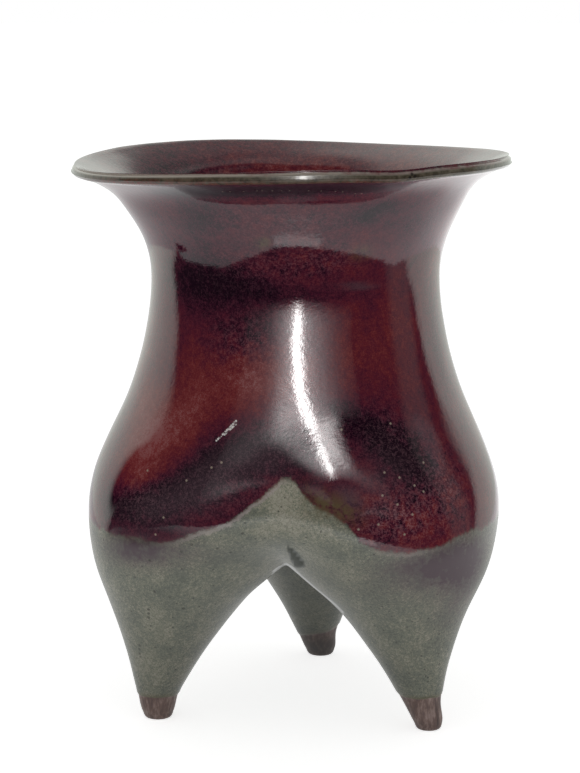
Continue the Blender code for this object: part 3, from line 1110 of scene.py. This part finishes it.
def make_world():
    world = bpy.data.worlds.new("studio")
    bpy.context.scene.world = world
    world.use_nodes = True
    tree = world.node_tree
    tree.nodes.clear()
    n = Nodes(tree)
    ray = tree.nodes.new("ShaderNodeLightPath")
    direction = n.add("ShaderNodeTexCoord", {}, "Generated")
    axes = tree.nodes.new("ShaderNodeSeparateXYZ")
    tree.links.new(direction, axes.inputs[0])
    across, deep, rise = axes.outputs
    level = n.math("SQRT", n.sum(n.times(across, across), n.times(deep, deep)))
    level = n.math("MAXIMUM", level, 0.01)
    behind = n.math("DIVIDE", deep, level)
    side = n.math("DIVIDE", across, level)
    low_rise = n.math("MINIMUM", n.math("MAXIMUM", rise, -0.25), 0.25)
    turn = n.times(side, n.scaled(low_rise, CLOTH_EDGE_TILT, CLOTH_EDGE_TURN))
    softness = n.step(rise, *CLOTH_EDGE_SOFTER[:2], 1.0, CLOTH_EDGE_SOFTER[2])
    past_edge = n.math("SUBTRACT", n.scaled(behind, 1.0, -CLOTH_EDGE), turn)
    past_edge = n.scaled(n.times(past_edge, softness), 1.0, 0.1)
    cloth = n.ramp(past_edge, tuple((position, (share, share, share)) for position, share in CLOTH))
    wall_from, wall_to, wall = DIM_WALL
    shine = n.scaled(n.add("ShaderNodeSeparateXYZ", {0: cloth}), CLOTH_LIGHT)
    shine = n.math("MAXIMUM", shine, n.step(side, wall_from, wall_to, 0.0, wall))
    above_from, above_to, above = DIM_ABOVE
    shine = n.times(shine, n.step(rise, above_from, above_to, 1.0, above))
    sight = {0: direction, 1: DARK_ABOVE}
    towards_dark = n.add("ShaderNodeVectorMath", sight, "Value", operation="DOT_PRODUCT")
    dark_from, dark_to, dark = DARK_ABOVE_REACH
    shine = n.times(shine, n.step(towards_dark, dark_from, dark_to, 1.0, dark))
    glossy = ray.outputs["Is Glossy Ray"]
    strength = n.blend(glossy, AMBIENT, shine)
    strength = n.blend(ray.outputs["Is Camera Ray"], strength, 1.0)
    tint = n.mix(glossy, (1.0, 1.0, 1.0, 1.0), CLOTH_TINT)
    light = n.add("ShaderNodeBackground", {"Color": tint, "Strength": strength})
    output = tree.nodes.new("ShaderNodeOutputWorld")
    tree.links.new(light, output.inputs["Surface"])


def make_floor():
    """What the camera sees to stand on. The glaze sees the table instead."""
    material = bpy.data.materials.new("pale_floor")
    material.use_nodes = True
    shader = material.node_tree.nodes["Principled BSDF"]
    shader.inputs["Base Color"].default_value = (0.85, 0.85, 0.85, 1.0)
    shader.inputs["Roughness"].default_value = 1.0
    shader.inputs["Specular IOR Level"].default_value = 0.0
    shader.inputs["Emission Color"].default_value = (1.0, 1.0, 1.0, 1.0)
    shader.inputs["Emission Strength"].default_value = 0.72
    floor = flat("floor", -FLOOR_SIZE, FLOOR_SIZE, -FLOOR_SIZE, FLOOR_SIZE, 0.0, material)
    floor.visible_glossy = False
    floor.visible_diffuse = False
    floor.visible_shadow = False


def make_table():
    """The white table, as the glaze mirrors it and as it lights the clay from below."""

    def table_light(shade_from, shade_to, shade, middle):
        def light(n):
            place = n.add("ShaderNodeTexCoord", {}, "Object")
            to_the_right = n.step(n.add("ShaderNodeSeparateXYZ", {0: place}), -0.2, 0.05, *TABLE_LIGHTS)
            from_vessel = n.distance(place, middle)
            return n.times(to_the_right, n.step(from_vessel, shade_from, shade_to, shade, 1.0))

        return light

    points = [(x, y, -0.0002) for x, y in TABLE_EDGE]
    face = [tuple(range(len(points)))]
    mirrored = emitter("table_white", TABLE_TINT, table_light(*TABLE_SHADE, TABLE_SHADE_PLACE))
    seen_in_glaze_only(stage_mesh("table_in_glaze", points, face, mirrored))
    lighting = emitter("table_glow", TABLE_TINT, table_light(*TABLE_SHADE_ON_CLAY, UNDER_VESSEL))
    seen_by_clay_only(stage_mesh("table_light", points, face, lighting))
    card = [(x, y, 0.0) for x, y in DARK_CARD]
    black = emitter("card_black", WHITE, 0.0)
    seen_in_glaze_only(stage_mesh("dark_card", card, [tuple(range(len(card)))], black))
    glare = flat("glare_on_table", *GLARE, -0.0001, emitter("glare_white", WHITE, GLARE_LIGHT))
    seen_in_glaze_only(glare)


def towards(azimuth, elevation, distance):
    """A place in the room. The azimuth is from the front, to the right."""
    out = distance * math.cos(elevation)
    height = ROOM_HEIGHT + distance * math.sin(elevation)
    return Vector((out * math.sin(azimuth), -out * math.cos(azimuth), height))


def make_window():
    azimuth, elevation, half_width, half_height, light = WINDOW
    points = []
    for i, j in ((-1, -1), (1, -1), (1, 1), (-1, 1)):
        turn = math.radians(azimuth + half_width * i)
        points.append(towards(turn, math.radians(elevation + half_height * j), LAMP_DISTANCE))
    window = stage_mesh("window_1", points, [(0, 1, 2, 3)], emitter("window_1", WHITE, light))
    seen_in_glaze_only(window)


def make_lamp():
    """A tall lamp with an arm to the right at its top. Its bright middle has a glow that thins out to both
    sides, and blooms on the left below the arm."""
    rows, columns = 16, 20
    low, bright_from, dims_from, top = LAMP_RISES
    points = []
    for i in range(rows + 1):
        rise = between(low, top * 1.25, i / rows)
        for j in range(columns + 1):
            turn = LAMP_AZIMUTH + LAMP_HALF_TURN * (2 * j / columns - 1)
            points.append(towards(turn, rise, LAMP_DISTANCE))
    wide = columns + 1
    faces = [
        (i * wide + j, i * wide + j + 1, (i + 1) * wide + j + 1, (i + 1) * wide + j)
        for i in range(rows)
        for j in range(columns)
    ]

    def bright_along_the_middle(n):
        axes = n.add("ShaderNodeSeparateXYZ", {0: n.add("ShaderNodeTexCoord", {}, "Object")}).node.outputs
        turn = n.math("ARCTAN2", axes[0], n.scaled(axes[1], -1.0))
        rise = n.math("ARCSINE", n.scaled(axes[2], 1 / LAMP_DISTANCE, -ROOM_HEIGHT / LAMP_DISTANCE))

        def hump(value, middle, width):
            off = n.scaled(value, 1 / width, -middle / width)
            return n.math("EXPONENT", n.scaled(n.times(off, off), -1.0))

        core = n.scaled(hump(turn, LAMP_AZIMUTH, LAMP_CORE), LAMP_LIGHT)
        away = n.math("ABSOLUTE", n.scaled(turn, 1.0, -LAMP_AZIMUTH))
        glow = n.scaled(n.math("EXPONENT", n.scaled(away, -1 / LAMP_SPREAD)), LAMP_GLOW)
        along = n.times(n.step(rise, low, bright_from), n.step(rise, dims_from, top, 1.0, 0.0))
        arm_rise, arm_width, arm_from, arm_to, arm_light = LAMP_ARM
        arm_reach = n.step(turn, arm_from, arm_to, arm_light, 0.0)
        arm_along = n.times(arm_reach, n.step(turn, 0.0, LAMP_CORE))
        arm = n.times(hump(rise, arm_rise, arm_width), arm_along)
        bloom_turn, bloom_reach, bloom_rise, bloom_height, bloom_light = LAMP_BLOOM
        bloom = n.times(hump(turn, bloom_turn, bloom_reach), hump(rise, bloom_rise, bloom_height))
        return n.sum(n.times(n.sum(core, glow), along), arm, n.scaled(bloom, bloom_light))

    lamp_white = emitter("lamp_white", LAMP_TINT, bright_along_the_middle)
    seen_in_glaze_only(stage_mesh("long_lamp", points, faces, lamp_white))


def make_camera():
    camera = bpy.data.cameras.new("camera")
    camera.lens = CAMERA_LENS
    camera.sensor_width = SENSOR
    item = bpy.data.objects.new("camera", camera)
    item.location = CAMERA_PLACE
    item.rotation_euler = (CAMERA_PITCH, 0.0, 0.0)
    bpy.context.scene.collection.objects.link(item)
    bpy.context.scene.camera = item


vessel = make_vessel()
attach(vessel, "root")
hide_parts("vessel")
make_world()
make_floor()
make_table()
make_window()
make_lamp()
make_camera()
bpy.context.scene.view_settings.view_transform = "Standard"
